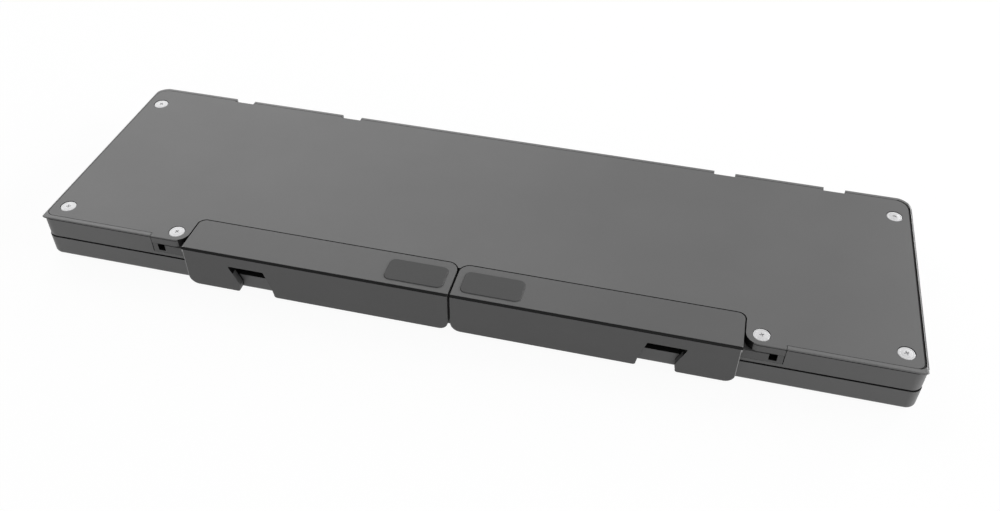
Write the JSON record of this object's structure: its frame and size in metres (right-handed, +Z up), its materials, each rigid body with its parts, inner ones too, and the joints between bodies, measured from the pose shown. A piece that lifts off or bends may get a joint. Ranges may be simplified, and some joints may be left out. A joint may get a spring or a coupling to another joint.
{
  "type": "folding keyboard",
  "caption": "Slim keyboard folded shut along a hinge between its key rows, with two swing-out arms that hold a tablet in slanted slots.",
  "frame": {"origin": "on the table, in the middle of the whole folded keyboard, with its arms and hinge barrels", "axes": "+X to the right along the fold, +Y to the back where the fold hinge is, +Z up through the far half's bottom cover"},
  "size_m": [0.25, 0.0774, 0.015],
  "materials": {
    "shell": "fine matt grey moulded shell",
    "cover": "fine matt grey anodised sheet",
    "arm": "fine matt grey anodised angle",
    "screw": "bright plated steel",
    "rubber": "matt dark grey rubber",
    "key_frame": "matt dark grey plastic",
    "keys": "matt black plastic",
    "steel": "plain steel",
    "film": "clear printed film",
    "silicone": "soft translucent silicone",
    "board": "green board with solder mask",
    "magnet": "nickel plated magnet",
    "hinge": "dark grey moulded hinge",
    "battery": "silver pouch foil",
    "socket": "stamped steel shell",
    "switch": "black plastic",
    "lens": "clear light pipe",
    "bush": "turned brass"
  },
  "bodies": {
    "near_half": {"near_case": "shell", "near_cover": "cover", "near_cover_screws": "screw", "near_feet": "rubber", "near_bumpers": "rubber", "near_key_frame": "key_frame", "near_support_plate": "steel", "near_membrane": "film", "near_domes": "silicone", "near_board": "board", "near_magnets": "magnet", "near_hinge_knuckles": "hinge", "hinge_pins": "steel"},
    "far_half": {"far_case": "shell", "far_cover": "cover", "far_cover_screws": "screw", "arm_pivot_screws": "screw", "far_key_frame": "key_frame", "far_support_plate": "steel", "far_membrane": "film", "far_domes": "silicone", "main_board": "board", "battery": "battery", "far_magnets": "magnet", "far_hinge_knuckles": "hinge", "charging_socket": "socket", "power_switch_body": "switch", "status_light": "lens", "pivot_bushes": "bush", "friction_washers": "steel"},
    "left_arm_body": {"left_arm": "arm", "left_arm_pad": "rubber"},
    "right_arm_body": {"right_arm": "arm", "right_arm_pad": "rubber"},
    "power_slider_body": {"power_slider": "switch"},
    "home_row_keys_body": {"home_row_keys": "keys"},
    "bottom_row_keys_body": {"bottom_row_keys": "keys"},
    "space_row_keys_body": {"space_row_keys": "keys"},
    "enter_key_body": {"enter_key": "keys"},
    "left_shift_key_body": {"left_shift_key": "keys"},
    "right_shift_key_body": {"right_shift_key": "keys"},
    "space_key_body": {"space_key": "keys"},
    "function_row_keys_body": {"function_row_keys": "keys"},
    "number_row_keys_body": {"number_row_keys": "keys"},
    "letter_row_keys_body": {"letter_row_keys": "keys"},
    "backspace_key_body": {"backspace_key": "keys"}
  },
  "joints": [
    {"name": "fold", "type": "hinge", "parent": "near_half", "child": "far_half", "pos_m": [0, 0.03652, 0.0077], "axis": [-1, 0, 0], "range_deg": [0, 180]},
    {"name": "left_arm_swing", "type": "hinge", "parent": "far_half", "child": "left_arm_body", "pos_m": [-0.083, -0.03244, 0.0108], "axis": [0, 0, -1], "range_deg": [0, 90]},
    {"name": "right_arm_swing", "type": "hinge", "parent": "far_half", "child": "right_arm_body", "pos_m": [0.083, -0.03244, 0.0108], "axis": [0, 0, 1], "range_deg": [0, 90]},
    {"name": "power_slide", "type": "slide", "parent": "far_half", "child": "power_slider_body", "axis": [0, 1, 0], "range_m": [0, 0.002]},
    {"name": "home_row_press", "type": "slide", "parent": "near_half", "child": "home_row_keys_body", "axis": [0, 0, -1], "range_m": [0, 0.0012], "stiffness_N_per_m": 4000, "springref_m": -0.0004, "deforming": ["near_domes"]},
    {"name": "bottom_row_press", "type": "slide", "parent": "near_half", "child": "bottom_row_keys_body", "axis": [0, 0, -1], "range_m": [0, 0.0012], "stiffness_N_per_m": 4000, "springref_m": -0.0004, "deforming": ["near_domes"]},
    {"name": "space_row_press", "type": "slide", "parent": "near_half", "child": "space_row_keys_body", "axis": [0, 0, -1], "range_m": [0, 0.0012], "stiffness_N_per_m": 4000, "springref_m": -0.0004, "deforming": ["near_domes"]},
    {"name": "enter_press", "type": "slide", "parent": "near_half", "child": "enter_key_body", "axis": [0, 0, -1], "range_m": [0, 0.0012], "stiffness_N_per_m": 600, "springref_m": -0.0004, "deforming": ["near_domes"]},
    {"name": "left_shift_press", "type": "slide", "parent": "near_half", "child": "left_shift_key_body", "axis": [0, 0, -1], "range_m": [0, 0.0012], "stiffness_N_per_m": 600, "springref_m": -0.0004, "deforming": ["near_domes"]},
    {"name": "right_shift_press", "type": "slide", "parent": "near_half", "child": "right_shift_key_body", "axis": [0, 0, -1], "range_m": [0, 0.0012], "stiffness_N_per_m": 600, "springref_m": -0.0004, "deforming": ["near_domes"]},
    {"name": "space_press", "type": "slide", "parent": "near_half", "child": "space_key_body", "axis": [0, 0, -1], "range_m": [0, 0.0012], "stiffness_N_per_m": 600, "springref_m": -0.0004, "deforming": ["near_domes"]},
    {"name": "function_row_press", "type": "slide", "parent": "far_half", "child": "function_row_keys_body", "axis": [0, 0, 1], "range_m": [0, 0.0012], "stiffness_N_per_m": 4000, "springref_m": -0.0004, "deforming": ["far_domes"]},
    {"name": "number_row_press", "type": "slide", "parent": "far_half", "child": "number_row_keys_body", "axis": [0, 0, 1], "range_m": [0, 0.0012], "stiffness_N_per_m": 4000, "springref_m": -0.0004, "deforming": ["far_domes"]},
    {"name": "letter_row_press", "type": "slide", "parent": "far_half", "child": "letter_row_keys_body", "axis": [0, 0, 1], "range_m": [0, 0.0012], "stiffness_N_per_m": 4000, "springref_m": -0.0004, "deforming": ["far_domes"]},
    {"name": "backspace_press", "type": "slide", "parent": "far_half", "child": "backspace_key_body", "axis": [0, 0, 1], "range_m": [0, 0.0012], "stiffness_N_per_m": 600, "springref_m": -0.0004, "deforming": ["far_domes"]}
  ]
}
